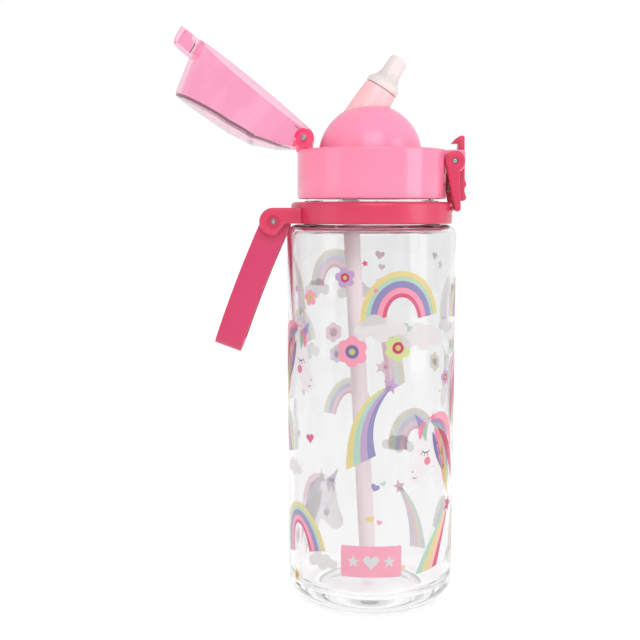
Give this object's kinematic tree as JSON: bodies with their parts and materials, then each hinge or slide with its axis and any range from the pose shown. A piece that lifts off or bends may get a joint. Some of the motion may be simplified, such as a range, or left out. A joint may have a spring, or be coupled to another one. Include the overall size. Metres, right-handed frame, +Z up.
{
  "type": "kids water bottle",
  "caption": "Clear printed kids water bottle with a carry loop on a neck ring, and a screw lid with a flip cover, latch and soft folding straw spout.",
  "frame": {"origin": "centre of the base, on the surface that the bottle stands on", "axes": "+Z up along the bottle's axis; -X is the side of the cover's hinge and the carry handle; +X is the side of the latch; -Y is the front, with the badge"},
  "size_m": [0.1192, 0.07, 0.2364],
  "materials": {
    "clear_bottle": "clear, glossy, printed",
    "ring_pink": "satin gloss, dark pink",
    "handle_pink": "satin, dark pink",
    "lid_pink": "gloss, light pink",
    "clear_cover": "clear pink, glossy",
    "stem_silicone": "soft, cloudy",
    "mouth_silicone": "soft, cloudy",
    "seal_silicone": "soft, cloudy",
    "straw_plastic": "cloudy",
    "steel": "ground steel"
  },
  "bodies": {
    "bottle": {"bottle_body": "clear_bottle"},
    "ring": {"carry_ring": "ring_pink", "handle_pins": "steel"},
    "handle": {"carry_handle": "handle_pink"},
    "seal": {"lid_seal": "seal_silicone"},
    "lid": {"lid_cap": "lid_pink", "spout_dome": "lid_pink", "lid_plate": "lid_pink", "spout_base": "stem_silicone", "straw_socket": "seal_silicone", "straw": "straw_plastic", "vent_valve": "seal_silicone", "cover_hinge_pin": "steel", "cover_spring": "steel", "latch_spring": "steel", "latch_pin": "steel"},
    "stem": {"spout_stem": "stem_silicone"},
    "mouthpiece": {"spout_mouthpiece": "mouth_silicone"},
    "cover": {"flip_cover": "clear_cover"},
    "latch": {"latch_button": "ring_pink"},
    "bail": {"lock_bail": "ring_pink"}
  },
  "joints": [
    {"name": "ring_swivel", "type": "hinge", "parent": "bottle", "child": "ring", "pos_m": [0, 0, 0.16135], "axis": [0, 0, 1], "range_deg": [-128, 128]},
    {"name": "handle_swing", "type": "hinge", "parent": "ring", "child": "handle", "pos_m": [-0.04, 0, 0.1578], "axis": [0, 1, 0], "range_deg": [-17, 114]},
    {"name": "lid_lift", "type": "slide", "parent": "bottle", "child": "seal", "axis": [0, 0, 1], "range_m": [0, 0.00501]},
    {"name": "lid_turn", "type": "hinge", "parent": "seal", "child": "lid", "pos_m": [0, 0, 0.167], "axis": [0, 0, 1], "range_deg": [0, 360]},
    {"name": "cover_hinge", "type": "hinge", "parent": "lid", "child": "cover", "pos_m": [-0.0279, 0, 0.1915], "axis": [0, 1, 0], "range_deg": [0, 141], "stiffness_Nm_per_rad": 0.004, "springref_deg": -20.05, "deforming": ["cover_spring"]},
    {"name": "stem_fold", "type": "hinge", "parent": "lid", "child": "stem", "pos_m": [0.00698, 0, 0.20392], "axis": [0, 1, 0], "range_deg": [0, 57.6], "deforming": ["spout_stem", "spout_base"]},
    {"name": "mouthpiece_fold", "type": "hinge", "parent": "stem", "child": "mouthpiece", "pos_m": [0.00968, 0, 0.20814], "axis": [0, 1, 0], "range_deg": [0, 45.3], "deforming": ["spout_mouthpiece"]},
    {"name": "latch_press", "type": "hinge", "parent": "lid", "child": "latch", "pos_m": [0.0332, 0, 0.1822], "axis": [0, 1, 0], "range_deg": [-4, 4.5], "stiffness_Nm_per_rad": 0.05, "deforming": ["latch_spring"]},
    {"name": "bail_flip", "type": "hinge", "parent": "lid", "child": "bail", "pos_m": [0.0332, 0, 0.1822], "axis": [0, -1, 0], "range_deg": [0, 190]}
  ],
  "couplings": [
    {"joint": "lid_lift", "follows": "lid_turn", "m_per_rad": 0.00079577},
    {"joint": "stem_fold", "follows": "cover_hinge", "ratio": 0.40709},
    {"joint": "mouthpiece_fold", "follows": "cover_hinge", "ratio": 0.31915}
  ]
}
